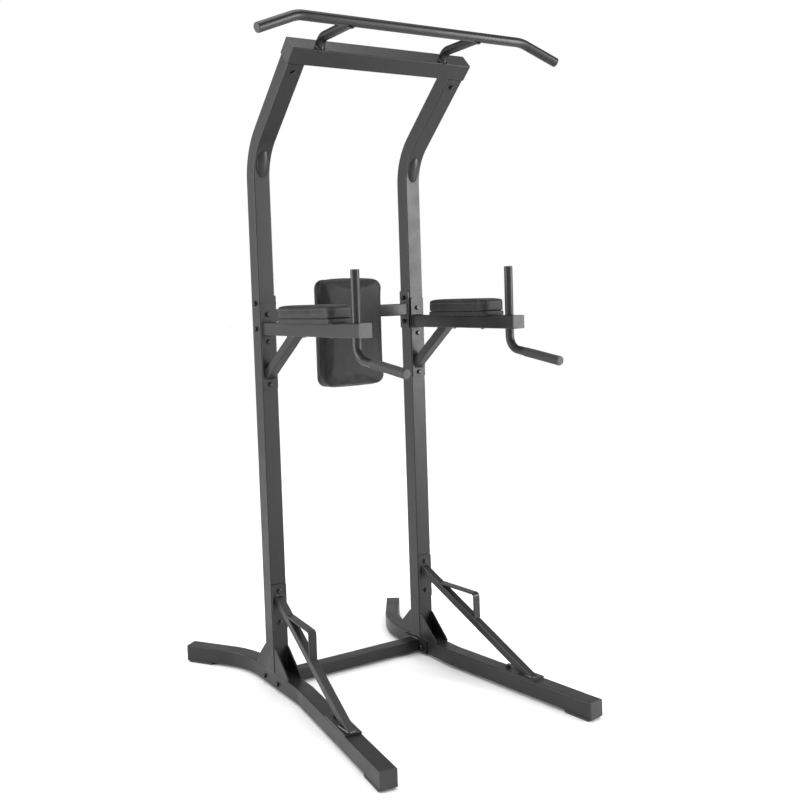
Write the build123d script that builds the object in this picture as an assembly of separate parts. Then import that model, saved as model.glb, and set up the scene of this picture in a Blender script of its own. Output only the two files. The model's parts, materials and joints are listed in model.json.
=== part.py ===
"""Power tower: a free-standing frame for pull-ups, dips and knee raises. Millimetres, +Z up.

The front of the tower, where the arms and the pull-up bar reach out, faces -Y. The pieces are
laid out with the uprights at y = 0, modelled for the right-hand side (+X) and mirrored to the
left. The finished tower is moved back by SETBACK, so that the origin is on the floor under the
middle of its footprint.
"""
import os
from math import atan2, cos, degrees, hypot, radians, sin, tan

from build123d import *

# Driving dimensions
SPAN = 568.0            # between the centre lines of the uprights
SETBACK = 180.0         # from the middle of the footprint back to the uprights
POST = 54.5             # square tube of the uprights and the crossbar
SQUARE = 50.0           # square tube of the base rails
SMALL_SQUARE = 40.0     # arm tubes and cross tubes
WALL = 2.0
CORNER = 3.0            # outer corner radius of the square tubes
FIT = 0.25              # clearance around a piece that slides into another
PLATE = 5.0             # welded mounting plates

SOLE = 8.0              # rubber under the base rails
RAIL_REAR_KNEE = 193.0  # y where the rails bend outwards behind the uprights
RAIL_FRONT_KNEE = -182.0
RAIL_REAR = (241.0, 35.0)     # length past the knee, splay angle
RAIL_FRONT = (580.0, 7.5)
RAIL_BEND = 280.0

JOINT_Z = 1136.0        # where the lower and the upper uprights meet
KNEE_Z = 1700.0         # where the straight and the leaning centre lines cross
LEAN = 47.5             # forward lean of the upper tubes, from vertical
KNEE_BEND = 180.0
LEAN_LENGTH = 351.0     # from the knee to the underside of the crossbar

BAR_Y, BAR_Z = -476.0, 1996.0
BAR_STRAIGHT = 384.0    # half the straight length of the pull-up bar
BAR_TIP = (508.0, -489.0, 1946.0)
BAR_DIAMETER = 28.0
SUPPORT_X = 218.0
SUPPORT_DIAMETER = 28.0

ARM_Z = 1158.0
ARM_REACH = 538.0       # from the mounting plate to the front end
ARM_TOE = 2.0           # the arms close in slightly towards the front
HANDLE_DIAMETER = 25.0
GRIP_DIAMETER = 27.0
PAD_LENGTH, PAD_WIDTH, PAD_DEPTH = 308.0, 88.0, 38.0
BOARD = 12.0

BACK_WIDTH, BACK_HEIGHT, BACK_DEPTH = 230.0, 350.0, 48.0
BACK_Z = 1133.0         # centre height of the back pad
BACK_TUBE_Z = 1198.0

ARM_BRACE, FLOOR_BRACE = 30.0, 25.0     # square tubes of the braces
BOLT = 8.0
HOLE = 8.6

# Derived places
SIDE = SPAN / 2
HALF = SQUARE / 2
POST_HALF = POST / 2
RAIL_TOP = SOLE + SQUARE
RAIL_MID = SOLE + HALF
ARM_FACE = -POST_HALF - PLATE          # front face of the arm mounting plates
UP = (0, 0, 1)
FRONT = (0, -1, 0)
OUT = (1, 0, 0)

parts = {}


def put(name, *shapes):
    """Keep the shapes as one node."""
    solids = [solid for shape in shapes for solid in shape.solids()]
    parts[name] = solids[0] if len(solids) == 1 else Compound(children=solids)


def mirrored(shape):
    return shape.mirror(Plane.YZ)


def pair(name, *shapes):
    """Keep the right-hand node and its mirror image."""
    put(f"right_{name}", *shapes)
    put(f"left_{name}", *[mirrored(shape) for shape in shapes])


def both(shapes):
    """The shapes and their mirror images, for nodes that hold both sides."""
    return [*shapes, *[mirrored(shape) for shape in shapes]]


def block(x0, x1, y0, y1, z0, z1):
    return Pos((x0 + x1) / 2, (y0 + y1) / 2, (z0 + z1) / 2) * Box(x1 - x0, y1 - y0, z1 - z0)


def rod(start, direction, diameter, length):
    """A round bar from start along direction; it also serves as a cutter for holes."""
    return extrude(Plane(origin=start, z_dir=direction) * Circle(diameter / 2), amount=length)


def section(path, x_dir):
    """The plane square to the start of a path."""
    return Plane(origin=path @ 0, x_dir=x_dir, z_dir=path % 0)


def square_bar(path, size, corner, x_dir=OUT):
    return sweep(section(path, x_dir) * RectangleRounded(size, size, corner), path=path)


def square_tube(path, size, x_dir=OUT, corner=CORNER):
    inner = size - 2 * WALL
    return square_bar(path, size, corner, x_dir) - square_bar(path, inner, corner - WALL, x_dir)


def round_tube(path, diameter, x_dir=OUT, wall=WALL):
    plane = section(path, x_dir)
    outer = sweep(plane * Circle(diameter / 2), path=path)
    return outer - sweep(plane * Circle(diameter / 2 - wall), path=path)


def hexagon(across, height):
    """A hexagonal prism standing on the origin, its upper corners turned off."""
    prism = extrude(RegularPolygon(across / 2, 6, major_radius=False), amount=height)
    round_over = chamfer(Cylinder(across * 0.577, height,
                                  align=(Align.CENTER, Align.CENTER, Align.MIN)).edges()
                         .group_by(Axis.Z)[-1], height * 0.2, height * 0.35)
    return prism & round_over


def ring(outer, inner, height):
    return (Cylinder(outer / 2, height, align=(Align.CENTER, Align.CENTER, Align.MIN))
            - Cylinder(inner / 2, height, align=(Align.CENTER, Align.CENTER, Align.MIN)))


# Fasteners -------------------------------------------------------------------------------
HEAD_ACROSS, HEAD_HEIGHT, NUT_HEIGHT = 13.0, 5.3, 8.0
WASHER_ACROSS, WASHER = 16.0, 1.6
THREAD_PAST_NUT = 2.0
bolts, washers, nuts = [], [], []


def through_bolt(start, outward, grip):
    """A bolt with its head outside `start`, washers on both faces, and a lock nut at the far end."""
    outward = Vector(*outward)
    head_face = Plane(origin=start, z_dir=outward)
    far_face = Plane(origin=Vector(*start) - outward * grip, z_dir=-outward)
    length = grip + 2 * WASHER + NUT_HEIGHT + THREAD_PAST_NUT
    shank = Pos(0, 0, WASHER) * Cylinder(BOLT / 2, length,
                                         align=(Align.CENTER, Align.CENTER, Align.MAX))
    bolts.append(head_face * (shank + Pos(0, 0, WASHER) * hexagon(HEAD_ACROSS, HEAD_HEIGHT)))
    washers.extend(face * ring(WASHER_ACROSS, BOLT, WASHER) for face in (head_face, far_face))
    nuts.append(far_face * Pos(0, 0, WASHER) * (hexagon(HEAD_ACROSS, NUT_HEIGHT)
                                                - Cylinder(BOLT / 2, 3 * NUT_HEIGHT)))


# Base rails: bent in plan, wider at both ends than at the uprights ---------------------------
def splayed(start_y, length, angle, sign):
    """The end of a rail that leaves the knee at start_y and runs outwards."""
    return (SIDE + length * sin(radians(angle)), start_y + sign * length * cos(radians(angle)))


rear_x, rear_y = splayed(RAIL_REAR_KNEE, *RAIL_REAR, 1)
front_x, front_y = splayed(RAIL_FRONT_KNEE, *RAIL_FRONT, -1)
rail_path = FilletPolyline((front_x, front_y, RAIL_MID), (SIDE, RAIL_FRONT_KNEE, RAIL_MID),
                           (SIDE, RAIL_REAR_KNEE, RAIL_MID), (rear_x, rear_y, RAIL_MID),
                           radius=RAIL_BEND)
BASE_BOLT_Y = 45.0
BRACE_BOLT_Y = -426.0


def rail_x(y):
    """Centre line of the front, splayed part of the right rail."""
    return SIDE + (RAIL_FRONT_KNEE - y) * tan(radians(RAIL_FRONT[1]))


brace_bolt = (rail_x(BRACE_BOLT_Y), BRACE_BOLT_Y)
rail = square_tube(rail_path, SQUARE, x_dir=UP)
for y in (-BASE_BOLT_Y, BASE_BOLT_Y):
    rail -= rod((SIDE - SQUARE, y, RAIL_MID - 5), OUT, HOLE, 2 * SQUARE)
rail -= rod((*brace_bolt, RAIL_MID), UP, HOLE, SQUARE)
pair("base_rail", rail)

# Foot caps: a plug in the tube end, an end plate and a rubber sole that reaches back
CAP_PLATE, CAP_PLUG, SOLE_LENGTH, SOLE_CHAMFER = 5.0, 30.0, 95.0, 14.0


def foot_cap(x, y, heading):
    """A cap for a rail end at (x, y), where the rail runs outwards along heading."""
    bore = SQUARE - 2 * WALL - 2 * FIT
    plug = fillet(Box(CAP_PLUG, bore, bore).edges().filter_by(Axis.X), WALL)
    plug -= Pos(-WALL, 0, 0) * Box(CAP_PLUG, bore - 8, bore - 8)
    plate = fillet(Box(CAP_PLATE, SQUARE, SQUARE).edges().filter_by(Axis.X), 3)
    sole_side = Polyline((CAP_PLATE, 0), (CAP_PLATE - SOLE_CHAMFER, -SOLE),
                         (3 - SOLE_LENGTH, -SOLE), (-SOLE_LENGTH, 0), close=True)
    sole = extrude(Plane.XZ * make_face(sole_side), amount=HALF, both=True)
    cap = (Pos(-CAP_PLUG / 2, 0, 0) * plug + Pos(CAP_PLATE / 2, 0, 0) * plate
           + Pos(0, 0, -HALF) * sole)
    return Plane(origin=(x, y, RAIL_MID), x_dir=heading, z_dir=UP) * cap


pair("rear_foot_cap", foot_cap(rear_x, rear_y, rail_path % 1))
pair("front_foot_cap", foot_cap(front_x, front_y, -(rail_path % 0)))

# Base cross tube, bolted between the rails
BASE_TUBE_Z = SOLE + SMALL_SQUARE / 2
base_end = SIDE - HALF - PLATE
put("base_cross_tube", square_tube(Line((-base_end, 0, BASE_TUBE_Z), (base_end, 0, BASE_TUBE_Z)),
                                   SMALL_SQUARE, x_dir=FRONT))
base_plate = block(base_end, base_end + PLATE, -65, 65, SOLE, SOLE + SMALL_SQUARE)
for y in (-BASE_BOLT_Y, BASE_BOLT_Y):
    base_plate -= rod((base_end - PLATE, y, BASE_TUBE_Z), OUT, HOLE, 4 * PLATE)
    through_bolt((SIDE + HALF, y, BASE_TUBE_Z), OUT, SQUARE + PLATE)
put("base_end_plates", *both([base_plate]))

# Uprights: a straight lower tube and a bent upper tube around a hidden splice sleeve ----------
ARM_BOLT_Z = (983.0, 1117.0, 1203.0)
BACK_BOLT_Z = (BACK_TUBE_Z - 40, BACK_TUBE_Z + 40)
BRACE_BOLT_Z = (220.0, 322.0)
lean_dir = Vector(0, -sin(radians(LEAN)), cos(radians(LEAN)))
face_dir = Vector(0, -cos(radians(LEAN)), -sin(radians(LEAN)))   # out of the leaning front face
knee = Vector(SIDE, 0, KNEE_Z)
tube_top = knee + lean_dir * LEAN_LENGTH


def drilled(tube):
    """The tube with every hole that the arm, back rest and floor brace bolts pass through."""
    for z in (*ARM_BOLT_Z, *BRACE_BOLT_Z):
        tube -= rod((SIDE, -SQUARE, z), (0, 1, 0), HOLE, 2 * SQUARE)
    for z in BACK_BOLT_Z:
        tube -= rod((SIDE - SQUARE, 0, z), OUT, HOLE, 2 * SQUARE)
    return tube


pair("upright_lower", drilled(square_tube(Line((SIDE, 0, RAIL_TOP), (SIDE, 0, JOINT_Z)), POST)))

# The press that bent the tube left a long dent in the inside of the knee
upper_path = FilletPolyline((SIDE, 0, JOINT_Z), knee, tube_top, radius=KNEE_BEND)
DENT_LENGTH, DENT_WIDTH, DENT_DEPTH = 95.0, 36.0, 8.0
DENT_TURN = 18.0        # how far round the bend the dent lies, from level
half_lean, dent_turn = radians(LEAN / 2), radians(DENT_TURN)
bend_centre = knee + Vector(0, -cos(half_lean), -sin(half_lean)) * (KNEE_BEND / cos(half_lean))
dent_at = bend_centre + Vector(0, cos(dent_turn), sin(dent_turn)) * (KNEE_BEND - POST_HALF)


def dent(grow):
    """An ellipsoid lying in the inside face of the knee."""
    ball = scale(Sphere(10), by=((DENT_WIDTH / 2 + grow) / 10, (DENT_DEPTH + grow) / 10,
                                 (DENT_LENGTH / 2 + grow) / 10))
    return Pos(*dent_at) * Rot(DENT_TURN, 0, 0) * ball


upper_outer = square_bar(upper_path, POST, CORNER) - dent(0)
upper_inner = square_bar(upper_path, POST - 2 * WALL, CORNER - WALL) - dent(WALL)
CROSSBAR_BOLT = 28.0    # below the tube end
crossbar_bolt = tube_top - lean_dir * CROSSBAR_BOLT
upper = drilled(upper_outer - upper_inner)
upper -= rod(crossbar_bolt + face_dir * SQUARE, -face_dir, HOLE, 2 * SQUARE)
pair("upright_upper", upper)

sleeve_size = POST - 2 * WALL - 2 * FIT
sleeve = square_tube(Line((SIDE, 0, 1050), (SIDE, 0, 1260)), sleeve_size)
pair("splice_sleeve", drilled(sleeve))

# Gussets that stiffen the foot of each upright, flush with its sides
GUSSET_TOP, GUSSET_FRONT, GUSSET_REAR, GUSSET = 142.0, -116.0, 106.0, 4.0
gussets = []
for foot, face in ((GUSSET_FRONT, -POST_HALF), (GUSSET_REAR, POST_HALF)):
    outline = make_face(Polyline((face, RAIL_TOP), (face, GUSSET_TOP),
                                 (face + (foot - face) * 0.12, GUSSET_TOP - 6),
                                 (foot, RAIL_TOP + 8), (foot, RAIL_TOP), close=True))
    for x in (SIDE - HALF, SIDE + HALF - GUSSET):
        rib = extrude(Plane.YZ * outline, amount=GUSSET)
        gussets.append(Pos(x, 0, 0) * rib)
pair("foot_gussets", *gussets)

# Top crossbar with the two stubs that drop into the uprights
crossbar_centre = tube_top + lean_dir * POST_HALF
bar_end = Vector(SIDE + POST_HALF, 0, 0)
crossbar_path = Line((-bar_end.X, crossbar_centre.Y, crossbar_centre.Z),
                     (bar_end.X, crossbar_centre.Y, crossbar_centre.Z))
put("crossbar", square_tube(crossbar_path, POST, x_dir=face_dir))
stub = square_tube(Line(tube_top - lean_dir * 90, tube_top), sleeve_size)
stub -= rod(crossbar_bolt + face_dir * SQUARE, -face_dir, HOLE, 2 * SQUARE)
put("crossbar_stubs", *both([stub]))
for sign in (-1, 1):
    start = crossbar_bolt + face_dir * POST_HALF
    through_bolt((sign * start.X, start.Y, start.Z), face_dir, POST)
end_plane = Plane(origin=(bar_end.X, crossbar_centre.Y, crossbar_centre.Z),
                  x_dir=face_dir, z_dir=OUT)
end_plug = end_plane * (extrude(RectangleRounded(POST, POST, CORNER), amount=3)
                        + extrude(RectangleRounded(sleeve_size, sleeve_size, 2), amount=-12))
put("crossbar_end_plugs", *both([end_plug]))

# Pull-up bar: straight, with both ends swept down, on two bent supports
bar_path = FilletPolyline((-BAR_TIP[0], BAR_TIP[1], BAR_TIP[2]), (-BAR_STRAIGHT, BAR_Y, BAR_Z),
                          (BAR_STRAIGHT, BAR_Y, BAR_Z), BAR_TIP, radius=90)
pull_up_bar = round_tube(bar_path, BAR_DIAMETER, x_dir=UP)
put("pull_up_bar", pull_up_bar)

PLUG_LIP, PLUG_REACH = 3.0, 18.0


def round_plug(plane, diameter):
    """A domed plug for the end of a round tube; plane z points out of the tube."""
    neck = Cylinder(diameter / 2 - WALL - FIT / 2, PLUG_REACH,
                    align=(Align.CENTER, Align.CENTER, Align.MAX))
    cap = Cylinder(diameter / 2, PLUG_LIP, align=(Align.CENTER, Align.CENTER, Align.MIN))
    return plane * (neck + fillet(cap.edges().group_by(Axis.Z)[-1], PLUG_LIP * 0.8))


put("bar_end_plugs", *both([round_plug(Plane(origin=bar_path @ 1, z_dir=bar_path % 1),
                                       BAR_DIAMETER)]))

SUPPORT_BEND, SUPPORT_LEAN_Y, SUPPORT_Z = 34.0, -300.0, BAR_Z - 4.0
support_path = FilletPolyline((SUPPORT_X, SUPPORT_LEAN_Y, SUPPORT_Z - SQUARE),
                              (SUPPORT_X, SUPPORT_LEAN_Y, SUPPORT_Z),
                              (SUPPORT_X, BAR_Y, SUPPORT_Z), radius=SUPPORT_BEND)
support = round_tube(support_path, SUPPORT_DIAMETER)
support -= square_bar(crossbar_path, POST, CORNER, x_dir=face_dir)
support -= sweep(section(bar_path, UP) * Circle(BAR_DIAMETER / 2), path=bar_path)
pair("bar_support", support.solids().sort_by(SortBy.VOLUME)[-1])

# Arms: each a welded bracket of plate, tube and brace, bolted to the front of an upright -----
# The arm frame has its origin on the plate's front face; -Y runs along the arm.
arm_frame = Pos(SIDE, ARM_FACE, 0) * Rot(0, 0, -ARM_TOE)
ARM_HALF = SMALL_SQUARE / 2
ARM_TOP = ARM_Z + ARM_HALF
PLATE_LOW, PLATE_HIGH = 968.0, 1238.0
behind_plate = block(SIDE - 60, SIDE + 60, ARM_FACE, 60, PLATE_LOW - 60, PLATE_HIGH + 60)
HANDLE_AT = -498.0      # along the arm
PAD_AT = -276.0         # middle of the arm pad
PAD_SCREWS = (PAD_AT - 90, PAD_AT + 60)

arm = square_tube(Line((0, 20, ARM_Z), (0, -ARM_REACH, ARM_Z)), SMALL_SQUARE)
arm -= rod((0, HANDLE_AT, ARM_Z - 60), UP, HANDLE_DIAMETER, 120)
for y in PAD_SCREWS:
    arm -= rod((0, y, ARM_Z - 60), UP, 6.4, 120)
pair("arm_tube", arm_frame * arm - behind_plate)

arm_plate = block(SIDE - HALF, SIDE + HALF, ARM_FACE, -POST_HALF, PLATE_LOW, PLATE_HIGH)
arm_plate = fillet(arm_plate.edges().filter_by(Axis.Y), 5)
for z in ARM_BOLT_Z:
    arm_plate -= rod((SIDE, -SQUARE, z), (0, 1, 0), HOLE, 2 * SQUARE)
    through_bolt((SIDE, ARM_FACE, z), FRONT, POST + PLATE)
    through_bolt((-SIDE, ARM_FACE, z), FRONT, POST + PLATE)
pair("arm_plate", arm_plate)

ARM_BRACE_LOW, ARM_BRACE_OUT = 1020.0, -162.0
arm_brace = square_tube(Line((0, 40, ARM_BRACE_LOW - 32),
                             (0, ARM_BRACE_OUT - 40, ARM_Z + 6)), ARM_BRACE)
arm_brace = arm_frame * (arm_brace - block(-60, 60, -400, 100, ARM_Z - ARM_HALF, ARM_Z + 200))
pair("arm_brace", arm_brace - behind_plate)

arm_bore = SMALL_SQUARE - 2 * WALL - 2 * FIT
arm_end = Plane(origin=(0, -ARM_REACH, ARM_Z), x_dir=OUT, z_dir=FRONT)
arm_plug = arm_end * (extrude(RectangleRounded(SMALL_SQUARE, SMALL_SQUARE, 3), amount=4)
                      + extrude(RectangleRounded(arm_bore, arm_bore, 1.5), amount=-16))
put("arm_end_plugs", *both([arm_frame * arm_plug]))

# Handles: one bent tube through each arm, an upright grip above and a dip handle below
HANDLE_TOP, HANDLE_KNEE, HANDLE_DROP, HANDLE_BEND, DIP_LENGTH = 1320.0, 1081.0, 8.0, 42.0, 218.0
dip_end = (0, HANDLE_AT - DIP_LENGTH, HANDLE_KNEE - DIP_LENGTH * tan(radians(HANDLE_DROP)))
handle_path = FilletPolyline((0, HANDLE_AT, HANDLE_TOP), (0, HANDLE_AT, HANDLE_KNEE), dip_end,
                             radius=HANDLE_BEND)
pair("handle", arm_frame * round_tube(handle_path, HANDLE_DIAMETER))

dip_dir = handle_path % 1
GRIP_LENGTH = 148.0
grip_start = handle_path @ 1 - dip_dir * GRIP_LENGTH
grip = rod(grip_start, dip_dir, GRIP_DIAMETER, GRIP_LENGTH)
grip = fillet(grip.edges(), 0.6) - rod(grip_start, dip_dir, HANDLE_DIAMETER, GRIP_LENGTH)
pair("dip_grip", arm_frame * grip)

handle_plugs = [round_plug(Plane(origin=handle_path @ 1, z_dir=dip_dir), HANDLE_DIAMETER),
                round_plug(Plane(origin=(0, HANDLE_AT, HANDLE_TOP), z_dir=UP), HANDLE_DIAMETER)]
put("handle_end_plugs", *both([arm_frame * plug for plug in handle_plugs]))

# Arm pads: a board screwed down on the arm and a cushion on the board
PAD_INSET = 3.0         # the boards are smaller than the cushions
board_area = RectangleRounded(PAD_WIDTH - 2 * PAD_INSET, PAD_LENGTH - 2 * PAD_INSET, 16)
pad_board = Pos(0, PAD_AT, ARM_TOP) * extrude(board_area, amount=BOARD)
pad_screws = []
for y in PAD_SCREWS:
    pad_board -= rod((0, y, ARM_TOP), UP, 6, BOARD - 2)
    shank = rod((0, y, ARM_TOP + BOARD - 2), (0, 0, -1), 6, SMALL_SQUARE + BOARD - 2)
    head = Pos(0, y, ARM_Z - ARM_HALF) * Rot(180, 0, 0) * hexagon(10, 4)
    pad_screws.append(arm_frame * (shank + head))
pair("arm_pad_board", arm_frame * pad_board)
put("arm_pad_screws", *both(pad_screws))

SOFT_GAP = 0.3


def cushion(width, length, depth, corner, edge):
    """A plain upholstered block standing on the XY plane."""
    pad = extrude(RectangleRounded(width, length, corner), amount=depth)
    return fillet(pad.edges().group_by(Axis.Z)[-1], edge)


pair("arm_pad", arm_frame * Pos(0, PAD_AT, ARM_TOP + BOARD + SOFT_GAP)
     * cushion(PAD_WIDTH, PAD_LENGTH, PAD_DEPTH, 24, 6.5))

# Back rest: a cross tube bolted between the uprights, a strap, a board and a cushion ---------
back_end = SIDE - POST_HALF - PLATE
back_tube = square_tube(Line((-back_end, 0, BACK_TUBE_Z), (back_end, 0, BACK_TUBE_Z)),
                        SMALL_SQUARE, x_dir=FRONT)
put("back_cross_tube", back_tube)
back_plate = block(back_end, back_end + PLATE, -HALF, HALF, BACK_TUBE_Z - 63, BACK_TUBE_Z + 63)
back_plate = fillet(back_plate.edges().filter_by(Axis.X), 5)
for z in BACK_BOLT_Z:
    back_plate -= rod((back_end - PLATE, 0, z), OUT, HOLE, 4 * PLATE)
    through_bolt((SIDE + POST_HALF, 0, z), OUT, POST + PLATE)
    through_bolt((-SIDE - POST_HALF, 0, z), (-1, 0, 0), POST + PLATE)
for y in (-BASE_BOLT_Y, BASE_BOLT_Y):
    through_bolt((-SIDE - HALF, y, BASE_TUBE_Z), (-1, 0, 0), SQUARE + PLATE)
put("back_end_plates", *both([back_plate]))

STRAP_Y = -SMALL_SQUARE / 2 - PLATE
STRAP_LOW, STRAP_HIGH = BACK_Z - 125, BACK_Z + 125
BACK_SCREW_Z = (STRAP_LOW + 20, BACK_Z - 20, STRAP_HIGH - 16)
strap = block(-20, 20, STRAP_Y, STRAP_Y + PLATE, STRAP_LOW, STRAP_HIGH)
strap = fillet(strap.edges().filter_by(Axis.Y), 5)
back_face = Plane(origin=(0, STRAP_Y, BACK_Z), x_dir=OUT, z_dir=FRONT)
back_board = back_face * extrude(RectangleRounded(BACK_WIDTH - 2 * PAD_INSET,
                                                     BACK_HEIGHT - 2 * PAD_INSET, 28),
                                 amount=BOARD)
back_screws = []
for z in BACK_SCREW_Z:
    strap -= rod((0, STRAP_Y - PLATE, z), (0, 1, 0), 6.4, 4 * PLATE)
    back_board -= rod((0, STRAP_Y, z), FRONT, 6, BOARD - 2)
    shank = rod((0, STRAP_Y + PLATE, z), FRONT, 6, PLATE + BOARD - 2)
    head = Plane(origin=(0, STRAP_Y + PLATE, z), z_dir=(0, 1, 0)) * hexagon(10, 4)
    back_screws.append(shank + head)
put("back_strap", strap)
put("back_pad_board", back_board)
put("back_pad_screws", *back_screws)
put("back_pad", back_face * Pos(0, 0, BOARD + SOFT_GAP)
    * cushion(BACK_WIDTH, BACK_HEIGHT, BACK_DEPTH, 32, 13))

# Floor braces: from the front of each upright down to the base rail --------------------------
BRACE_HIGH_Z, BRACE_FOOT_Y = 294.5, -508.0
brace_top = Vector(SIDE, ARM_FACE, BRACE_HIGH_Z)
brace_foot = Vector(rail_x(BRACE_FOOT_Y), BRACE_FOOT_Y, RAIL_TOP + PLATE)
brace_dir = (brace_foot - brace_top).normalized()
brace_x = Vector(0, 0, 1).cross(brace_dir).normalized()
floor_brace = square_tube(Line(brace_top - brace_dir * 60, brace_foot + brace_dir * 60), FLOOR_BRACE,
                          x_dir=brace_x)
floor_brace -= block(SIDE - 90, SIDE + 90, ARM_FACE, 120, 0, 500)
floor_brace -= block(SIDE - 90, SIDE + 150, -700, 0, -60, RAIL_TOP + PLATE)
pair("floor_brace", floor_brace)

upright_plate = block(SIDE - HALF, SIDE + HALF, ARM_FACE, -POST_HALF, 196, 344)
upright_plate = fillet(upright_plate.edges().filter_by(Axis.Y), 4)
for z in BRACE_BOLT_Z:
    upright_plate -= rod((SIDE, -SQUARE, z), (0, 1, 0), HOLE, 2 * SQUARE)
    for sign in (-1, 1):
        through_bolt((sign * SIDE, ARM_FACE, z), FRONT, POST + PLATE)
rail_heading = Vector(sin(radians(RAIL_FRONT[1])), -cos(radians(RAIL_FRONT[1])), 0)
rail_plate_at = Plane(origin=(*brace_bolt, RAIL_TOP), x_dir=rail_heading, z_dir=UP)
rail_plate = rail_plate_at * (block(-22, 122, -HALF, HALF, 0, PLATE) - Cylinder(HOLE / 2, 40))
pair("brace_plates", upright_plate, rail_plate)

# The lower end of each floor brace is held by a short bolt in a nut welded inside the rail
WELD_NUT_HEIGHT, SHORT_SHANK = 6.5, 20.0
washers.extend(both([rail_plate_at * Pos(0, 0, PLATE) * ring(WASHER_ACROSS, BOLT, WASHER)]))
weld_nut = hexagon(HEAD_ACROSS, WELD_NUT_HEIGHT) - Cylinder(BOLT / 2, 3 * NUT_HEIGHT)
put("weld_nuts", *both([rail_plate_at * Pos(0, 0, -WALL - WELD_NUT_HEIGHT) * weld_nut]))
short_bolt = hexagon(HEAD_ACROSS, HEAD_HEIGHT) + Cylinder(
    BOLT / 2, SHORT_SHANK, align=(Align.CENTER, Align.CENTER, Align.MAX))
put("short_bolts", *both([rail_plate_at * Pos(0, 0, PLATE + WASHER) * short_bolt]))

# Steps: a bent flat bar on top of each floor brace
STEP_WIDTH, STEP, STEP_TOP, STEP_FRONT = 25.0, 5.0, 268.0, -285.0


def brace_upper(y):
    """Height of the upper face of the floor brace, on its centre line."""
    slope = brace_dir.Z / hypot(brace_dir.X, brace_dir.Y)
    return BRACE_HIGH_Z + slope * (ARM_FACE - y) + FLOOR_BRACE / 2 * hypot(1, slope)


step_line = FilletPolyline((-60.0, STEP_TOP - STEP / 2), (STEP_FRONT, STEP_TOP - STEP / 2),
                           (STEP_FRONT, 100.0), radius=10)
step_bar = extrude(Plane.YZ * trace(step_line, STEP), amount=STEP_WIDTH / 2, both=True)
under_brace = Polyline((0, brace_upper(0)), (-500, brace_upper(-500)), (-500, -100), (0, -100),
                       close=True)
step_bar -= extrude(Plane.YZ * make_face(under_brace), amount=STEP_WIDTH, both=True)
brace_turn = degrees(atan2(brace_dir.X, -brace_dir.Y))
step_frame = Pos(SIDE, ARM_FACE, 0) * Rot(0, 0, brace_turn) * Pos(0, -ARM_FACE, 0)
pair("step_bracket", step_frame * step_bar)

put("hex_bolts", *bolts)
put("lock_nuts", *nuts)
put("washers", *washers)

os.makedirs("parts", exist_ok=True)
for name, shape in parts.items():
    export_step(Pos(0, SETBACK, 0) * shape, f"parts/{name}.step")
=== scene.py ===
"""Looks of the power tower: finishes, upholstered cushions, welds, grips, light and camera.

Everything is in metres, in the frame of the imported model: +Z up, the front of the tower at -Y,
the origin on the floor under the middle of the footprint.
"""
import json
from math import atan2, cos, pi, radians, sin, sqrt, tau

import bpy
import numpy as np
from mathutils import Matrix, Vector
from mathutils.bvhtree import BVHTree


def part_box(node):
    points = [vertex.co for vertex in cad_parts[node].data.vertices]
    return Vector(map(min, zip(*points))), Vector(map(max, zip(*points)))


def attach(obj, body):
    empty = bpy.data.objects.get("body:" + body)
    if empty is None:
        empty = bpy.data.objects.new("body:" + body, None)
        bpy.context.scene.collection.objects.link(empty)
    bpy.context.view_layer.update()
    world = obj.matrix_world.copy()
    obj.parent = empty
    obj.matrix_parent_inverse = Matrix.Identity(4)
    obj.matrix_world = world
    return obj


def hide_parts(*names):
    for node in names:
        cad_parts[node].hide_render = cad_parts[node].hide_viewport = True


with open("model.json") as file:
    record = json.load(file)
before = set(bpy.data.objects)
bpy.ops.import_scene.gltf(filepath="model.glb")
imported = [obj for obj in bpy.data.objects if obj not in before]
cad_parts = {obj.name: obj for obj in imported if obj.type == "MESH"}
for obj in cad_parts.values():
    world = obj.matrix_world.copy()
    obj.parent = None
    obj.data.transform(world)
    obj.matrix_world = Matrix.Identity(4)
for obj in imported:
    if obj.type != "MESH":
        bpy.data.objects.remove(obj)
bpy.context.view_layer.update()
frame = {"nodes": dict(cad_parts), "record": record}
nodes = frame["nodes"]
scene = bpy.context.scene
SIDES = ("left", "right")
UP, FRONT, OUT = Vector((0, 0, 1)), Vector((0, -1, 0)), Vector((1, 0, 0))

# Sizes and angles of the frame that its bounding boxes do not give
ARM_TOE = radians(2.0)
LEAN = radians(47.5)
CROSSBAR_HALF = 0.02725
RAIL_HALF = 0.0255      # and half a weld bead
ARM_BRACE_HALF, FLOOR_BRACE_HALF = 0.015, 0.0125
BAR_RADIUS = 0.014
WELD_CORNER = 0.004

# Camera ------------------------------------------------------------------------------------
CAMERA_AT = Vector((-1.6472, -2.6015, 1.2557))
CAMERA_TURN = radians(-30.24)      # to the left of the tower's front
CAMERA_PITCH = radians(3.69)       # looking slightly down
CAMERA_ROLL = radians(-2.07)
CAMERA_LENS, CAMERA_SENSOR = 44.03, 36.0
CAMERA_SHIFT = (0.080, -0.0523)


def add_camera():
    data = bpy.data.cameras.new("camera")
    data.sensor_width, data.lens = CAMERA_SENSOR, CAMERA_LENS
    data.shift_x, data.shift_y = CAMERA_SHIFT
    data.clip_start, data.clip_end = 0.05, 100
    camera = bpy.data.objects.new("camera", data)
    scene.collection.objects.link(camera)
    back = Vector((sin(CAMERA_TURN) * cos(CAMERA_PITCH), -cos(CAMERA_TURN) * cos(CAMERA_PITCH),
                   sin(CAMERA_PITCH)))
    right = Vector((cos(CAMERA_TURN), sin(CAMERA_TURN), 0))
    above = back.cross(right)
    axes = Matrix((right * cos(CAMERA_ROLL) + above * sin(CAMERA_ROLL),
                   above * cos(CAMERA_ROLL) - right * sin(CAMERA_ROLL), back)).transposed()
    camera.matrix_world = Matrix.Translation(CAMERA_AT) @ axes.to_4x4()
    scene.camera = camera


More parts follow.
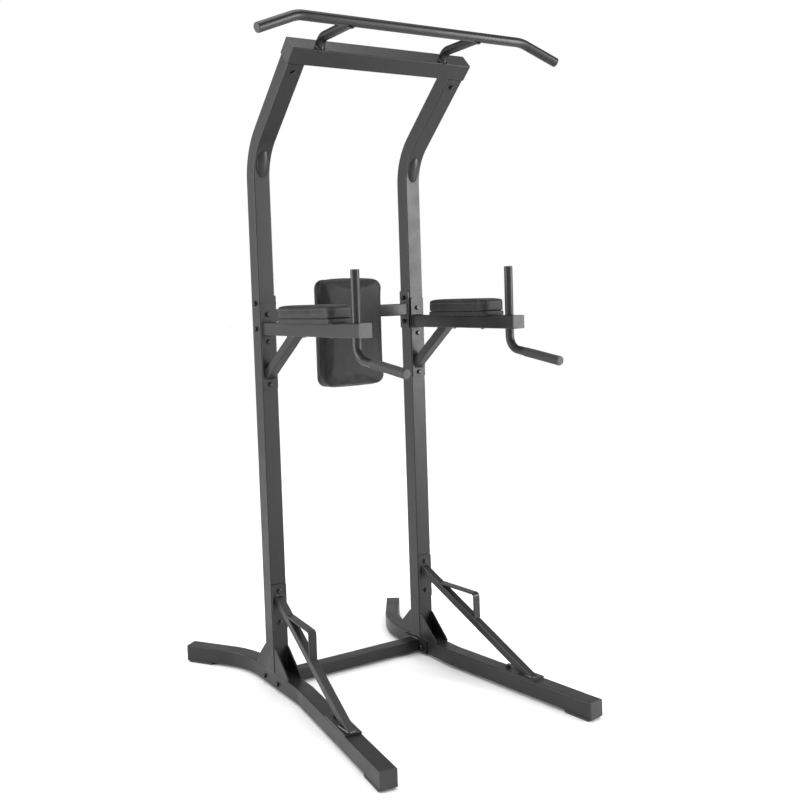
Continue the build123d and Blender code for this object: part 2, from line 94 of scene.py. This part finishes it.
# Stage and light ---------------------------------------------------------------------------
FLOOR_RADIUS = 40.0
# Brightness of the studio at the horizon, on the walls above it, and of the lamps overhead
SKY_HORIZON, SKY_WALL, SKY_TOP = 1.0, 0.16, 3.6


def add_floor():
    ring = [(FLOOR_RADIUS * cos(tau * i / 96), FLOOR_RADIUS * sin(tau * i / 96), 0)
            for i in range(96)]
    mesh = bpy.data.meshes.new("floor")
    mesh.from_pydata(ring, [], [tuple(range(96))])
    floor = bpy.data.objects.new("floor", mesh)
    scene.collection.objects.link(floor)
    finish = Finish("studio_floor", {"Roughness": 0.7, "Specular IOR Level": 0.3})
    tone = finish.blend(finish.noise(1.5, 3), (0.86, 0.86, 0.87, 1), (0.90, 0.90, 0.90, 1))
    finish.feed(finish.shader.inputs["Base Color"], tone)
    mesh.materials.append(finish.material)


def add_sky():
    """A studio that is white around the horizon, grey above it and brightly lit from overhead."""
    world = bpy.data.worlds.new("studio")
    world.use_nodes = True
    scene.world = world
    tree = world.node_tree
    place = tree.nodes.new("ShaderNodeTexCoord")
    split = tree.nodes.new("ShaderNodeSeparateXYZ")
    both = tree.nodes.new("ShaderNodeMath")
    for index, (low, high, dark, light) in enumerate(((18, 24, SKY_HORIZON, SKY_WALL),
                                                      (54, 64, 0.0, SKY_TOP - SKY_WALL))):
        step = tree.nodes.new("ShaderNodeMapRange")
        step.interpolation_type = "SMOOTHSTEP"
        for key, value in (("From Min", sin(radians(low))), ("From Max", sin(radians(high))),
                           ("To Min", dark), ("To Max", light)):
            step.inputs[key].default_value = value
        tree.links.new(split.outputs["Z"], step.inputs["Value"])
        tree.links.new(step.outputs["Result"], both.inputs[index])
    tree.links.new(place.outputs["Generated"], split.inputs[0])
    tree.links.new(both.outputs[0], tree.nodes["Background"].inputs["Strength"])
    tree.nodes["Background"].inputs["Color"].default_value = (1, 1, 1, 1)


def add_softbox(name, at, aim, size, watts):
    data = bpy.data.lights.new(name, "AREA")
    data.shape = "RECTANGLE"
    data.size, data.size_y = size
    data.energy = watts
    light = bpy.data.objects.new(name, data)
    scene.collection.objects.link(light)
    light.location = at
    light.rotation_euler = (Vector(aim) - Vector(at)).to_track_quat("-Z", "Y").to_euler()


def add_lights():
    add_sky()
    add_softbox("softbox_right", (3.3, -3.4, 1.9), (0.2, 0, 1.0), (1.3, 3.0), 240)
    add_softbox("softbox_left", (-4.2, 1.6, 1.8), (0, 0, 1.1), (1.6, 3.0), 190)


# Finishes ----------------------------------------------------------------------------------
class Finish:
    """A material, and short ways to add and join its nodes."""

    def __init__(self, name, sockets):
        self.material = bpy.data.materials.new(name)
        self.material.use_nodes = True
        self.tree = self.material.node_tree
        self.shader = self.tree.nodes["Principled BSDF"]
        for key, value in sockets.items():
            self.feed(self.shader.inputs[key], value)
        self.place = self.add("TexCoord").outputs["Object"]

    def feed(self, socket, value):
        if isinstance(value, bpy.types.NodeSocket):
            self.tree.links.new(value, socket)
        else:
            socket.default_value = value

    def add(self, kind, inputs=None, **settings):
        node = self.tree.nodes.new("ShaderNode" + kind)
        for key, value in settings.items():
            setattr(node, key, value)
        for key, value in (inputs or {}).items():
            self.feed(node.inputs[key], value)
        return node

    def stretched(self, scale):
        return self.add("Mapping", {"Vector": self.place, "Scale": scale}).outputs["Vector"]

    def noise(self, scale, detail=2.0, rough=0.5, stretch=(1, 1, 1)):
        return self.add("TexNoise", {"Vector": self.stretched(stretch), "Scale": scale,
                                     "Detail": detail, "Roughness": rough}).outputs["Fac"]

    def cells(self, scale, feature="DISTANCE_TO_EDGE", stretch=(1, 1, 1)):
        return self.add("TexVoronoi", {"Vector": self.stretched(stretch), "Scale": scale},
                        feature=feature).outputs["Distance"]

    def remap(self, value, low, high, to_low, to_high):
        return self.add("MapRange", {"Value": value, "From Min": low, "From Max": high,
                                     "To Min": to_low, "To Max": to_high}).outputs["Result"]

    def math(self, operation, first, second):
        node = self.add("Math", {0: first, 1: second}, operation=operation)
        return node.outputs[0]

    def blend(self, factor, first, second):
        """The first colour at 0 and the second at 1."""
        node = self.add("Mix", {0: factor, 6: first, 7: second}, data_type="RGBA")
        return node.outputs[2]

    def bump(self, height, distance, strength=1.0, normal=None):
        inputs = {"Height": height, "Distance": distance, "Strength": strength}
        if normal is not None:
            inputs["Normal"] = normal
        return self.add("Bump", inputs).outputs["Normal"]

    def rounded(self, radius):
        """Normals that turn smoothly over every edge of this radius."""
        return self.add("Bevel", {"Radius": radius}, samples=4).outputs["Normal"]

    def edges(self, rounded):
        """1 along the outer edges and 0 on the flats."""
        true_normal = self.add("NewGeometry").outputs["Normal"]
        turn = self.add("VectorMath", {0: rounded, 1: true_normal}, operation="DOT_PRODUCT")
        return self.remap(turn.outputs["Value"], 0.985, 0.80, 0.0, 1.0)

    def wear(self, **sockets):
        """Join what varies over the surface to the shader."""
        for key, value in sockets.items():
            self.feed(self.shader.inputs[key.replace("_", " ")], value)
        return self.material


def powder_coat():
    """Charcoal semi-gloss powder coat, with orange peel, dust, and lighter edges: partly worn
    paint, partly a painted highlight.
    """
    paint = Finish("powder_coat", {"Specular IOR Level": 0.34, "Coat Weight": 0.05,
                                   "Coat Roughness": 0.22})
    rounded = paint.rounded(0.0011)
    cloud = paint.noise(5, 4, 0.6)
    speckle = paint.noise(900, 2, 0.6)
    tone = paint.blend(paint.remap(cloud, 0.3, 0.7, 0, 1), (0.0070, 0.0064, 0.0072, 1),
                       (0.0115, 0.0106, 0.0118, 1))
    tone = paint.blend(paint.remap(speckle, 0.60, 0.74, 0, 0.5), tone, (0.055, 0.052, 0.056, 1))
    # Lighter along the edges in patches: partly worn paint, partly a painted highlight along the
    # rims.
    edge_wear_and_highlight = paint.math("MULTIPLY", paint.edges(rounded),
                        paint.remap(paint.noise(38, 5, 0.7), 0.50, 0.68, 0, 0.75))
    tone = paint.blend(edge_wear_and_highlight, tone, (0.125, 0.118, 0.118, 1))
    rough = paint.remap(paint.noise(14, 5, 0.65), 0.3, 0.7, 0.33, 0.46)
    peel = paint.math("ADD", paint.noise(520, 2), paint.math("MULTIPLY", speckle, 0.35))
    return paint.wear(Base_Color=tone, Roughness=rough,
                      Normal=paint.bump(peel, 0.00022, 0.35, rounded))


def weld_paint():
    """The same coat where it lies over a rippled weld bead."""
    paint = Finish("weld_paint", {"Specular IOR Level": 0.5, "Coat Weight": 0.1})
    tone = paint.blend(paint.noise(160, 3), (0.015, 0.014, 0.015, 1), (0.030, 0.028, 0.030, 1))
    return paint.wear(Base_Color=tone, Roughness=paint.remap(paint.noise(90, 3), 0, 1, 0.3, 0.5),
                      Normal=paint.bump(paint.noise(700, 3), 0.0002, 0.5))


def black_zinc():
    """Black-plated steel fasteners, brighter along their edges: partly worn by tools and washers,
    partly a painted highlight.
    """
    steel = Finish("black_zinc", {"Metallic": 1.0})
    rounded = steel.rounded(0.0005)
    # Brighter along the edges in patches: partly worn plating, partly a painted highlight along the
    # rims.
    edge_wear_and_highlight = steel.math("MULTIPLY", steel.edges(rounded), steel.noise(420, 4, 0.7))
    tone = steel.blend(steel.noise(260, 4), (0.028, 0.027, 0.029, 1), (0.058, 0.056, 0.058, 1))
    tone = steel.blend(edge_wear_and_highlight, tone, (0.34, 0.33, 0.32, 1))
    rough = steel.remap(steel.noise(800, 3), 0.3, 0.7, 0.26, 0.45)
    return steel.wear(Base_Color=tone, Roughness=rough,
                      Normal=steel.bump(steel.noise(1500, 2), 0.0001, 0.3, rounded))


def vinyl():
    """Black upholstery vinyl with a pebbled grain and soft folds, with painted shade in the grain's
    valleys and the folds' hollows.
    """
    skin = Finish("pad_vinyl", {"Specular IOR Level": 0.28, "Sheen Weight": 0.03,
                                "Sheen Roughness": 0.45})
    pebble_grain_and_valley_shade = skin.remap(skin.cells(620), 0.0, 0.22, 0.0, 1.0)
    pores = skin.noise(2400, 2, 0.6)
    soft_folds_and_hollow_shade = skin.noise(22, 4, 0.6)
    # Painted shade: the colour is darker in the valleys between the pebbles and in the hollows of
    # the soft folds.
    tone = skin.blend(pebble_grain_and_valley_shade, (0.006, 0.0057, 0.0063, 1), (0.015, 0.014, 0.0155, 1))
    tone = skin.blend(skin.remap(soft_folds_and_hollow_shade, 0.45, 0.75, 0, 0.6), tone, (0.021, 0.020, 0.022, 1))
    rough = skin.remap(pebble_grain_and_valley_shade, 0, 1, 0.62, 0.44)
    grain = skin.math("ADD", pebble_grain_and_valley_shade, skin.math("MULTIPLY", pores, 0.3))
    soft = skin.bump(soft_folds_and_hollow_shade, 0.0035, 0.35)
    return skin.wear(Base_Color=tone, Roughness=rough,
                     Normal=skin.bump(grain, 0.00022, 0.55, soft))


def thread():
    """Twisted polyester thread."""
    yarn = Finish("stitch_thread", {"Sheen Weight": 0.3})
    twist = yarn.noise(2600, 2)
    tone = yarn.blend(twist, (0.035, 0.033, 0.036, 1), (0.085, 0.080, 0.086, 1))
    return yarn.wear(Base_Color=tone, Roughness=yarn.remap(twist, 0, 1, 0.5, 0.7),
                     Normal=yarn.bump(twist, 0.0002, 0.6))


def plywood(name, plies):
    """Dark-stained plywood; plies is how often the layers repeat along each axis."""
    wood = Finish(name, {"Specular IOR Level": 0.3})
    grain = wood.noise(60, 6, 0.7, (1, 0.12, 1) if plies[2] else (1, 1, 0.12))
    layers = wood.add("TexWave", {"Vector": wood.stretched(plies), "Scale": 1.0,
                                  "Distortion": 0.6, "Detail": 2.0}).outputs["Fac"]
    tone = wood.blend(grain, (0.020, 0.014, 0.010, 1), (0.075, 0.050, 0.032, 1))
    tone = wood.blend(wood.math("MULTIPLY", layers, 0.55), tone, (0.030, 0.020, 0.014, 1))
    return wood.wear(Base_Color=tone, Roughness=wood.remap(grain, 0, 1, 0.55, 0.8),
                     Normal=wood.bump(grain, 0.0004, 0.5))


def rubber(name, dark, light, roughness, texture=700):
    """Moulded rubber or plastic with a fine spark-eroded texture."""
    mould = Finish(name, {"Specular IOR Level": 0.45})
    rounded = mould.rounded(0.0008)
    cloud = mould.noise(30, 4, 0.6)
    grain = mould.noise(texture, 3, 0.6)
    tone = mould.blend(cloud, (*dark, 1), (*light, 1))
    scuffs = mould.remap(mould.noise(70, 6, 0.75, (1, 0.3, 1)), 0.56, 0.72, 0, 0.4)
    tone = mould.blend(scuffs, tone, tuple(min(1, 1.8 * part) for part in light) + (1,))
    rough = mould.remap(cloud, 0.2, 0.8, roughness - 0.06, roughness + 0.08)
    return mould.wear(Base_Color=tone, Roughness=rough,
                      Normal=mould.bump(grain, 0.0002, 0.45, rounded))


def raw_steel():
    """Thin bright steel, for staples."""
    steel = Finish("staple_steel", {"Metallic": 1.0})
    tone = steel.blend(steel.noise(300, 3), (0.35, 0.34, 0.33, 1), (0.6, 0.59, 0.57, 1))
    return steel.wear(Base_Color=tone, Roughness=steel.remap(steel.noise(900), 0, 1, 0.25, 0.45))


# Mesh helpers ------------------------------------------------------------------------------
def add_piece(name, vertices, faces, material, slot):
    """A new mesh piece that rides on the frame."""
    mesh = bpy.data.meshes.new(name)
    mesh.from_pydata([tuple(v) for v in vertices], [], faces)
    mesh.validate()
    mesh.shade_smooth()
    mesh.set_sharp_from_angle(angle=radians(38))
    mesh.materials.append(material)
    piece = bpy.data.objects.new(name, mesh)
    scene.collection.objects.link(piece)
    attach(piece, "root")
    return piece


def merged(shapes):
    """One list of vertices and one of faces from several (vertices, faces)."""
    vertices, faces = [], []
    for some_vertices, some_faces in shapes:
        start = len(vertices)
        vertices.extend(some_vertices)
        faces.extend(tuple(start + i for i in face) for face in some_faces)
    return vertices, faces


def evenly(points, step, closed):
    """Points about one step apart along a polyline."""
    line = [*points, points[0]] if closed else list(points)
    lengths = np.cumsum([0.0] + [(b - a).length for a, b in zip(line, line[1:])])
    count = max(3, round(lengths[-1] / step))
    places = np.linspace(0, lengths[-1], count, endpoint=not closed)
    table = np.array([tuple(point) for point in line])
    return [Vector([np.interp(s, lengths, table[:, axis]) for axis in range(3)])
            for s in places]


def bar(points, radii, sides, closed):
    """A round bar along points, with a radius at each of them."""
    count = len(points)
    vertices, faces = [], []
    normal = None
    for i, point in enumerate(points):
        ahead = points[(i + 1) % count] if closed or i < count - 1 else point
        behind = points[i - 1] if closed or i else point
        along = (ahead - behind).normalized()
        normal = along.orthogonal() if normal is None else normal - along * normal.dot(along)
        normal.normalize()
        side = along.cross(normal)
        vertices.extend(point + (normal * cos(tau * k / sides) + side * sin(tau * k / sides))
                        * radii[i] for k in range(sides))
    for i in range(count if closed else count - 1):
        here, there = i * sides, (i + 1) % count * sides
        faces.extend((here + k, here + (k + 1) % sides, there + (k + 1) % sides, there + k)
                     for k in range(sides))
    if not closed:
        faces.append(tuple(reversed(range(sides))))
        faces.append(tuple(range((count - 1) * sides, count * sides)))
    return vertices, faces


def rounded_loop(centre, u, v, half_u, half_v, corner):
    """A closed rectangle with rounded corners around centre, in the plane of u and v."""
    points = []
    for quarter, (sign_u, sign_v) in enumerate(((1, 1), (-1, 1), (-1, -1), (1, -1))):
        middle = centre + u * sign_u * (half_u - corner) + v * sign_v * (half_v - corner)
        points.extend(middle + (u * cos(a) + v * sin(a)) * corner
                      for a in [(quarter + step / 5) * pi / 2 for step in range(6)])
    return points


# Welds -------------------------------------------------------------------------------------
BEAD = 0.0026           # radius of a weld bead, half of it sunk in the joint
RIPPLE = 0.0032         # from one ripple of a bead to the next


def bead(points, closed=True, size=BEAD):
    """A weld bead with overlapping ripples along points."""
    line = evenly(points, RIPPLE / 4, closed)
    radii = [size * (0.86 + 0.20 * (i % 4) / 3) for i in range(len(line))]
    return bar(line, radii, 8, closed)


def middle_of(node):
    low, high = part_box(node)
    return (low + high) / 2


def arm_welds():
    """The arm and its brace on the mounting plate, and the brace under the arm."""
    shapes = []
    for side, sign in (("left", -1), ("right", 1)):
        tube_low, tube_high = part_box(f"{side}_arm_tube")
        plate_low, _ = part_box(f"{side}_arm_plate")
        brace_low, brace_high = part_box(f"{side}_arm_brace")
        x = middle_of(f"{side}_arm_plate").x
        face = plate_low.y
        arm_z = (tube_low.z + tube_high.z) / 2
        half = (tube_high.z - tube_low.z) / 2
        shapes.append(bead(rounded_loop(Vector((x, face, arm_z)), OUT, UP, half, half,
                                        WELD_CORNER)))
        foot_half = ARM_BRACE_HALF / cos(atan2(brace_high.z - brace_low.z, face - brace_low.y))
        shapes.append(bead(rounded_loop(Vector((x, face, brace_low.z + foot_half)), OUT, UP,
                                        ARM_BRACE_HALF, foot_half, WELD_CORNER)))
        head_half = ARM_BRACE_HALF / sin(atan2(brace_high.z - brace_low.z, face - brace_low.y))
        head_y = brace_low.y + head_half
        head_x = x - sign * (face - head_y) * sin(ARM_TOE)
        shapes.append(bead(rounded_loop(Vector((head_x, head_y, brace_high.z)), OUT, FRONT,
                                        ARM_BRACE_HALF, head_half, WELD_CORNER)))
    add_piece("arm_welds", *merged(shapes), PAINTED_WELD, "frame_paint")


def base_welds():
    """Uprights and gussets on the rails, cross tube on its end plates, braces on their plates."""
    shapes = []
    for side, sign in (("left", -1), ("right", 1)):
        low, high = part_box(f"{side}_upright_lower")
        centre = (low + high) / 2
        half = (high.x - low.x) / 2
        shapes.append(bead(rounded_loop(Vector((centre.x, centre.y, low.z)), OUT, FRONT,
                                        RAIL_HALF, half, WELD_CORNER)))
        gusset_low, gusset_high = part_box(f"{side}_foot_gussets")
        for rib_x in (gusset_low.x + 0.004, gusset_high.x - 0.004):
            for tip, face in ((gusset_low.y, centre.y - half), (gusset_high.y, centre.y + half)):
                shapes.append(bead([Vector((rib_x, tip, low.z)), Vector((rib_x, face, low.z)),
                                    Vector((rib_x, face, gusset_high.z))], False, 0.0022))
        tube_low, tube_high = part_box("base_cross_tube")
        end = Vector((sign * tube_high.x, (tube_low.y + tube_high.y) / 2,
                      (tube_low.z + tube_high.z) / 2))
        size = (tube_high.z - tube_low.z) / 2
        loop = rounded_loop(end, FRONT, UP, size, size, WELD_CORNER)
        shapes.append(bead([point for point in loop if point.z > 0.012], False))
        shapes.extend(brace_welds(side))
    add_piece("base_welds", *merged(shapes), PAINTED_WELD, "frame_paint")


def brace_welds(side):
    """Beads around both ends of a floor brace."""
    low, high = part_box(f"{side}_floor_brace")
    centre_x = middle_of(f"{side}_upright_lower").x
    half = FLOOR_BRACE_HALF
    slope = atan2(high.z - low.z, high.y - low.y)
    top_half = half / cos(slope)
    top = Vector((centre_x, high.y, high.z - top_half))
    toe_x = low.x if side == "left" else high.x
    foot_half = half / sin(slope)
    foot = Vector((toe_x + (half if side == "left" else -half), low.y + foot_half, low.z))
    return [bead(rounded_loop(top, OUT, UP, half, top_half, WELD_CORNER)),
            bead(rounded_loop(foot, OUT, FRONT, half, foot_half, WELD_CORNER))]


def top_welds():
    """Bar supports on the crossbar and under the pull-up bar."""
    low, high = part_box("crossbar")
    centre = (low + high) / 2
    normal = Vector((0, -sin(LEAN), cos(LEAN)))
    shapes = []
    for side in SIDES:
        support_low, support_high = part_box(f"{side}_bar_support")
        x = (support_low.x + support_high.x) / 2
        radius = (support_high.x - support_low.x) / 2
        leg_y = support_high.y - radius
        loop = []
        for i in range(32):
            y = leg_y + radius * sin(tau * i / 32)
            z = centre.z + (CROSSBAR_HALF - (y - centre.y) * normal.y) / normal.z
            loop.append(Vector((x + radius * cos(tau * i / 32), y, z)))
        shapes.append(bead(loop))
        _, bar_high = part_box("pull_up_bar")
        joint = Vector((x, support_low.y, support_high.z - radius))
        ring = [joint + Vector((radius * cos(tau * i / 32), 0, radius * sin(tau * i / 32)))
                for i in range(32)]
        for point in ring:
            rise = point.z - (bar_high.z - BAR_RADIUS)
            point.y = bar_high.y - BAR_RADIUS + sqrt(max(0, BAR_RADIUS ** 2 - rise ** 2))
        shapes.append(bead(ring))
    add_piece("top_welds", *merged(shapes), PAINTED_WELD, "frame_paint")


def back_rest_welds():
    """The cross tube on its end plates and the strap on the tube."""
    low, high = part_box("back_cross_tube")
    centre = (low + high) / 2
    half = (high.z - low.z) / 2
    shapes = [bead(rounded_loop(Vector((x, centre.y, centre.z)), FRONT, UP, half, half,
                                WELD_CORNER))
              for x in (low.x, high.x)]
    strap_low, strap_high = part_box("back_strap")
    for x in (strap_low.x, strap_high.x):
        shapes.append(bead([Vector((x, strap_high.y, centre.z - half + 0.004)),
                            Vector((x, strap_high.y, centre.z + half - 0.004))], False))
    add_piece("back_rest_welds", *merged(shapes), PAINTED_WELD, "frame_paint")


# Cushions ----------------------------------------------------------------------------------
VOXEL = 0.0038
SWELL_FRAMES = 20
STITCH, STITCH_GAP = 0.0052, 0.0026


def swell(piece, base, outward, cap):
    """Blow the cushion up with cloth pressure, its base held, and keep the result."""
    group = piece.vertex_groups.new(name="base")
    held = [v.index for v in piece.data.vertices if (v.co - base).dot(outward) < 0.002]
    group.add(held, 1.0, "REPLACE")
    rest = [v.co.copy() for v in piece.data.vertices]
    cloth = piece.modifiers.new("swell", "CLOTH")
    settings = cloth.settings
    settings.vertex_group_mass = "base"
    settings.use_pressure = True
    settings.uniform_pressure_force = 4.0
    settings.tension_stiffness = settings.compression_stiffness = 25
    settings.bending_stiffness = 1.5
    settings.effector_weights.gravity = 0
    cloth.point_cache.frame_start, cloth.point_cache.frame_end = 1, SWELL_FRAMES
    for step in range(1, SWELL_FRAMES + 1):
        scene.frame_set(step)
    shaped = piece.evaluated_get(bpy.context.evaluated_depsgraph_get()).to_mesh()
    moved = [v.co.copy() for v in shaped.vertices]
    piece.to_mesh_clear()
    piece.modifiers.remove(cloth)
    scene.frame_set(1)
    for vertex, start, end in zip(piece.data.vertices, rest, moved):
        shift = end - start
        reach = shift.length
        if reach > 1e-9:
            vertex.co = start + shift * (cap * np.tanh(reach / cap) / reach)


def keep_modifiers(piece):
    """Make what the modifiers show the piece's own mesh."""
    shown = piece.evaluated_get(bpy.context.evaluated_depsgraph_get())
    mesh = bpy.data.meshes.new_from_object(shown)
    piece.modifiers.clear()
    piece.data = mesh


def surface_line(piece, middle, u, v, outline, heights, outward):
    """Where level rays from around the outline meet the piece, heights above middle."""
    mesh = piece.data
    tree = BVHTree.FromPolygons([vertex.co for vertex in mesh.vertices],
                                [tuple(face.vertices) for face in mesh.polygons])
    found = []
    for a, b in outline:
        aim = middle + u * a * 0.80 + v * b * 0.80 + outward * heights[0]
        start = middle + u * a * 1.25 + v * b * 1.25 + outward * heights[1]
        hit, normal, _, _ = tree.ray_cast(start, (aim - start).normalized())
        if hit is not None:
            found.append((hit, normal))
    return found


def rectangle_outline(half_u, half_v, corner, step):
    loop = rounded_loop(Vector((0, 0, 0)), OUT, UP, half_u, half_v, corner)
    return [(point.x, point.z) for point in evenly(loop, step, True)]


def stitches(line):
    """Short thread lengths lying on a line of (place, normal)."""
    places = [place for place, _ in line]
    normals = [normal for _, normal in line]
    dense = evenly(places, (STITCH + STITCH_GAP) / 4, True)
    shapes = []
    per_stitch = 4
    for start in range(0, len(dense) - per_stitch, per_stitch):
        run = dense[start:start + per_stitch]
        nearest = normals[min(len(normals) - 1, start * len(normals) // len(dense))]
        lift = [0.0001, 0.0006, 0.0006, 0.0001]
        points = [point + nearest * rise for point, rise in zip(run, lift)]
        shapes.append(bar(points, [0.0004, 0.00062, 0.00062, 0.0004], 6, False))
    return merged(shapes)


def cushion(node, name, outward, u, v, half, corner, edge, cap, seam):
    """A crowned cushion in place of a plain pad, with a welted seam and a stitched side."""
    low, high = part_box(node)
    middle = (low + high) / 2
    depth = abs((high - low).dot(outward))
    base = middle - outward * depth / 2
    mesh = nodes[node].data.copy()
    mesh.materials.clear()
    piece = bpy.data.objects.new(name, mesh)
    scene.collection.objects.link(piece)
    for vertex in mesh.vertices:
        rise = (vertex.co - base).dot(outward)
        flat = vertex.co - base - outward * rise
        vertex.co = base + flat * 0.988 + outward * rise * 0.955
    remesh = piece.modifiers.new("remesh", "REMESH")
    remesh.mode, remesh.voxel_size = "VOXEL", VOXEL
    keep_modifiers(piece)
    swell(piece, base, outward, cap)
    smooth = piece.modifiers.new("smooth", "SMOOTH")
    smooth.factor, smooth.iterations = 0.5, 2
    divide = piece.modifiers.new("divide", "SUBSURF")
    divide.levels = divide.render_levels = 1
    keep_modifiers(piece)
    for vertex in piece.data.vertices:
        under = (vertex.co - base).dot(outward)
        if under < 0.0002:
            vertex.co -= outward * (under - 0.0002)
    piece.data.shade_smooth()
    piece.data.materials.clear()
    piece.data.materials.append(VINYL)
    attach(piece, "root")
    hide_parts(node)
    outline = rectangle_outline(half[0], half[1], corner, 0.004)
    found = surface_line(piece, base, u, v, outline, (depth - 1.6 * edge, depth + 0.9 * edge),
                         outward)
    welt_points = [place - normal * seam * 0.25 for place, normal in found]
    welt_line = evenly(welt_points, 0.003, True)
    welt = bar(welt_line, [seam] * len(welt_line), 8, True)
    add_piece(f"{name}_welt", *welt, VINYL, "pad_vinyl")
    level = depth - 1.9 * edge
    stitch_line = surface_line(piece, base, u, v, outline, (level, level), outward)
    add_piece(f"{name}_stitches", *stitches(stitch_line), THREAD, "pad_vinyl")


def skirt(node, name, outward, u, v, half, corner):
    """The vinyl that wraps a cushion's board: down its edge and folded on to its back."""
    low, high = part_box(node)
    middle = (low + high) / 2
    depth = abs((high - low).dot(outward))
    fold, thick = 0.026, 0.0011
    profile = [(0.0002, depth), (thick, depth), (thick, 0.0005), (0.0004, -0.0009),
               (-fold, -0.0009), (-fold - 0.0006, -0.0001), (0.0002, -0.0001)]
    rings = []
    for grow, rise in profile:
        radius = max(0.002, corner + grow)
        rings.append([middle + outward * (rise - depth / 2) + u * a + v * b
                      for a, b in [(p.x, p.z) for p in rounded_loop(
                          Vector((0, 0, 0)), OUT, UP, half[0] + grow, half[1] + grow, radius)]])
    size = len(rings[0])
    vertices = [point for ring in rings for point in ring]
    faces = [(r * size + i, r * size + (i + 1) % size, (r + 1) % len(rings) * size + (i + 1) % size,
              (r + 1) % len(rings) * size + i) for r in range(len(rings)) for i in range(size)]
    add_piece(name, vertices, faces, VINYL, "pad_vinyl")
    staple_line = evenly(rounded_loop(middle - outward * (depth / 2 + 0.001), u, v,
                                      half[0] - 0.018, half[1] - 0.018, 0.006), 0.034, True)
    shapes = []
    for here, there in zip(staple_line, [*staple_line[1:], staple_line[0]]):
        along = (there - here).normalized()
        ends = [here - along * 0.005 + outward * 0.001, here - along * 0.005 - outward * 0.0004,
                here + along * 0.005 - outward * 0.0004, here + along * 0.005 + outward * 0.001]
        shapes.append(bar(ends, [0.0005] * 4, 6, False))
    add_piece(f"{name}_staples", *merged(shapes), STAPLE, "fasteners")


# Grips -------------------------------------------------------------------------------------
def long_axis(node):
    """The middle, direction and length of a long round node."""
    places = np.array([tuple(vertex.co) for vertex in nodes[node].data.vertices])
    low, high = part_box(node)
    middle = (low + high) / 2
    direction = Vector(np.linalg.svd(places - places.mean(0), full_matrices=False)[2][0])
    if direction.y > 0:
        direction = -direction
    spread = [(Vector(place) - middle).dot(direction) for place in places]
    return middle, direction.normalized(), max(spread) - min(spread)


def ribbed_grip(side):
    """A rubber sleeve with raised bands between its two collars."""
    node = f"{side}_dip_grip"
    middle, along, length = long_axis(node)
    outer, bore = 0.0135, 0.0126
    collar, pitch, groove = 0.009, 0.0052, 0.0005
    profile = [(-length / 2, bore), (-length / 2, outer - 0.0006), (-length / 2 + 0.0006, outer)]
    place = -length / 2 + collar
    profile.append((place, outer))
    while place + pitch < length / 2 - collar:
        profile.extend([(place + 0.0009, outer - groove), (place + 0.0017, outer - groove),
                        (place + 0.0026, outer), (place + pitch, outer)])
        place += pitch
    profile.extend([(length / 2 - 0.0006, outer), (length / 2, outer - 0.0006),
                    (length / 2, bore)])
    first = along.orthogonal().normalized()
    second = along.cross(first)
    sides = 40
    vertices = [middle + along * at + (first * cos(tau * k / sides)
                                       + second * sin(tau * k / sides)) * radius
                for at, radius in profile for k in range(sides)]
    count = len(profile)
    faces = [(r * sides + k, r * sides + (k + 1) % sides,
              (r + 1) % count * sides + (k + 1) % sides, (r + 1) % count * sides + k)
             for r in range(count) for k in range(sides)]
    piece = add_piece(f"{side}_ribbed_grip", vertices, faces, GRIP, "grip_rubber")
    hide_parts(node)


# Assembly ----------------------------------------------------------------------------------
PAINT, PAINTED_WELD, ZINC, VINYL, THREAD = (powder_coat(), weld_paint(), black_zinc(), vinyl(),
                                            thread())
ARM_PLY = plywood("arm_board_ply", (0, 0, 1300))
BACK_PLY = plywood("back_board_ply", (0, 1300, 0))
FOOT = rubber("foot_rubber", (0.016, 0.015, 0.016), (0.027, 0.026, 0.027), 0.55)
GRIP = rubber("grip_rubber", (0.015, 0.015, 0.015), (0.026, 0.025, 0.026), 0.6, 1100)
GREY = rubber("grey_plastic", (0.044, 0.042, 0.044), (0.056, 0.054, 0.056), 0.5)
BLACK = rubber("black_plastic", (0.017, 0.016, 0.017), (0.024, 0.023, 0.024), 0.38)
STAPLE = raw_steel()

FINISHES = {"frame_paint": PAINT, "fasteners": ZINC, "pad_vinyl": VINYL, "plywood": ARM_PLY,
            "foot_rubber": FOOT, "grip_rubber": GRIP, "grey_plastic": GREY,
            "black_plastic": BLACK}


def dress_frame():
    """Give every CAD node its finish, by its slot in the record."""
    for part in frame["record"]["subparts"]:
        mesh = nodes[part["node"]].data
        mesh.materials.clear()
        mesh.materials.append(FINISHES[part["material_slot"]])
    nodes["back_pad_board"].data.materials[0] = BACK_PLY


def add_upholstery():
    for side, sign in (("left", -1), ("right", 1)):
        u = Vector((cos(ARM_TOE), -sign * sin(ARM_TOE), 0))
        v = Vector((sign * sin(ARM_TOE), cos(ARM_TOE), 0))
        cushion(f"{side}_arm_pad", f"{side}_arm_cushion", UP, u, v, (0.044, 0.154), 0.024,
                0.0065, 0.0035, 0.0008)
        skirt(f"{side}_arm_pad_board", f"{side}_arm_board_wrap", UP, u, v, (0.041, 0.151), 0.016)
    cushion("back_pad", "back_cushion", FRONT, OUT, UP, (0.115, 0.175), 0.032, 0.013, 0.005,
            0.0006)
    skirt("back_pad_board", "back_board_wrap", FRONT, OUT, UP, (0.112, 0.172), 0.028)


add_camera()
add_floor()
add_lights()
dress_frame()
add_upholstery()
arm_welds()
base_welds()
top_welds()
back_rest_welds()
for grip_side in SIDES:
    ribbed_grip(grip_side)
scene.view_settings.view_transform = "Standard"
